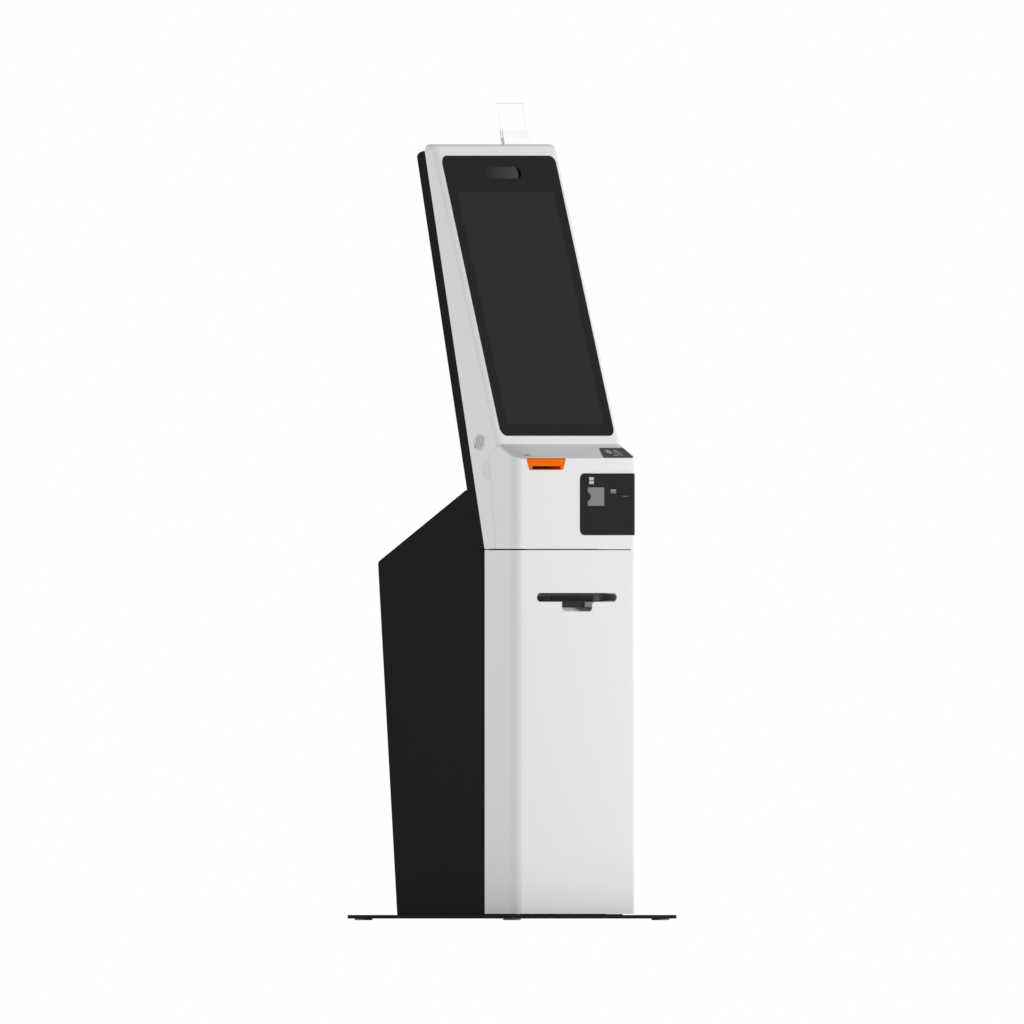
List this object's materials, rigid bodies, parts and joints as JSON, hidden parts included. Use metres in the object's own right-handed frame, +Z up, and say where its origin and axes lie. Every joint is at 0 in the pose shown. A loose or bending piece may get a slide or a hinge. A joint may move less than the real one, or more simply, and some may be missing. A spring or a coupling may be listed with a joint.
{
  "type": "ticket vending machine",
  "caption": "Free-standing ticket vending kiosk: tilted touch screen, code scanner, card terminal, ticket outlet in a hinged door, printer behind it.",
  "frame": {"origin": "on the floor under the middle of the square base plate", "axes": "+Z up, the screen and the door face -Y, +X is to the right of a person facing the machine"},
  "size_m": [0.512, 0.512, 1.798],
  "materials": {
    "white_paint": "smooth satin white powder coat",
    "white_plastic": "smooth satin white moulding",
    "black_steel": "fine textured black powder coat",
    "zinc_steel": "zinc-plated sheet",
    "chrome": "polished",
    "glass_black": "back-printed black cover glass",
    "gloss_black": "glossy black",
    "dark_plastic": "matt dark grey",
    "grey_plastic": "light grey",
    "orange_plastic": "satin orange moulding",
    "module_metal": "bare folded cover",
    "foot_rubber": "grey rubber",
    "roller_rubber": "ground black rubber",
    "paper": "thermal paper",
    "clear_acrylic": "polished clear acrylic"
  },
  "bodies": {
    "root": {"base_plate": "black_steel", "foot_front_left": "foot_rubber", "foot_front_right": "foot_rubber", "foot_rear_left": "foot_rubber", "foot_rear_right": "foot_rubber", "left_side_panel": "black_steel", "right_side_panel": "black_steel", "sloped_top_panel": "black_steel", "cabinet_floor": "black_steel", "cabinet_top_plate": "black_steel", "right_corner_post": "black_steel", "left_corner_post": "black_steel", "lower_hinge_pin": "zinc_steel", "upper_hinge_bracket": "zinc_steel", "lock_strike": "zinc_steel", "rear_panel": "black_steel", "rear_service_cover": "black_steel", "power_inlet": "dark_plastic", "power_supply": "module_metal", "printer_shelf": "zinc_steel", "printer_base": "dark_plastic", "print_head": "zinc_steel", "roll_bracket": "zinc_steel", "head_front_shell": "white_plastic", "head_back_shell": "black_steel", "touch_glass": "glass_black", "camera_window": "gloss_black", "camera_module": "dark_plastic", "lcd_panel": "module_metal", "screen_frame": "zinc_steel", "computer_module": "module_metal", "left_speaker": "dark_plastic", "left_speaker_grille": "grey_plastic", "left_access_cap": "white_plastic", "right_speaker": "dark_plastic", "right_speaker_grille": "grey_plastic", "right_access_cap": "white_plastic", "console_cover": "white_plastic", "scanner_bezel": "orange_plastic", "scanner_window": "gloss_black", "scanner_module": "dark_plastic", "contactless_pad": "gloss_black", "payment_panel": "gloss_black", "card_window": "grey_plastic", "payment_module": "dark_plastic", "sign_clip": "white_plastic", "sign_plate": "clear_acrylic"},
    "door": {"front_door": "white_paint", "outlet_bezel": "gloss_black", "ticket_lip": "chrome", "lock_barrel": "chrome"},
    "lock": {"lock_cylinder": "chrome", "lock_cam": "zinc_steel"},
    "printer_lid": {"printer_lid": "dark_plastic"},
    "platen": {"platen_roller": "roller_rubber"},
    "lid_lever": {"lid_lever": "orange_plastic"},
    "feed_button": {"feed_button": "grey_plastic"},
    "paper_roll": {"paper_roll": "paper", "roll_spindle": "grey_plastic"},
    "power_switch": {"power_switch": "gloss_black"}
  },
  "joints": [
    {"name": "door_hinge", "type": "hinge", "parent": "root", "child": "door", "pos_m": [-0.186, -0.1115, 0.414], "axis": [0, 0, -1], "range_deg": [0, 100]},
    {"name": "lock_turn", "type": "hinge", "parent": "door", "child": "lock", "pos_m": [0.18, -0.15, 0.48], "axis": [-1, 0, 0], "range_deg": [0, 90]},
    {"name": "printer_lid_hinge", "type": "hinge", "parent": "root", "child": "printer_lid", "pos_m": [0, -0.022, 0.7], "axis": [-1, 0, 0], "range_deg": [0, 60]},
    {"name": "lid_lever_pull", "type": "hinge", "parent": "printer_lid", "child": "lid_lever", "pos_m": [0.05, -0.09, 0.7114], "axis": [-1, 0, 0], "range_deg": [0, 35]},
    {"name": "platen_spin", "type": "hinge", "parent": "printer_lid", "child": "platen", "pos_m": [0, -0.108, 0.7114], "axis": [1, 0, 0], "continuous": true},
    {"name": "paper_roll_spin", "type": "hinge", "parent": "root", "child": "paper_roll", "pos_m": [0, 0.068, 0.69], "axis": [1, 0, 0], "continuous": true},
    {"name": "feed_button_press", "type": "slide", "parent": "root", "child": "feed_button", "axis": [0, 1, 0], "range_m": [0, 0.0013], "stiffness_N_per_m": 400},
    {"name": "power_switch_rock", "type": "hinge", "parent": "root", "child": "power_switch", "pos_m": [-0.125, 0.17094, 0.10139], "axis": [1, 0, 0], "range_deg": [0, 16]}
  ],
  "couplings": [
    {"joint": "platen_spin", "follows": "paper_roll_spin", "ratio": -7.8571}
  ]
}
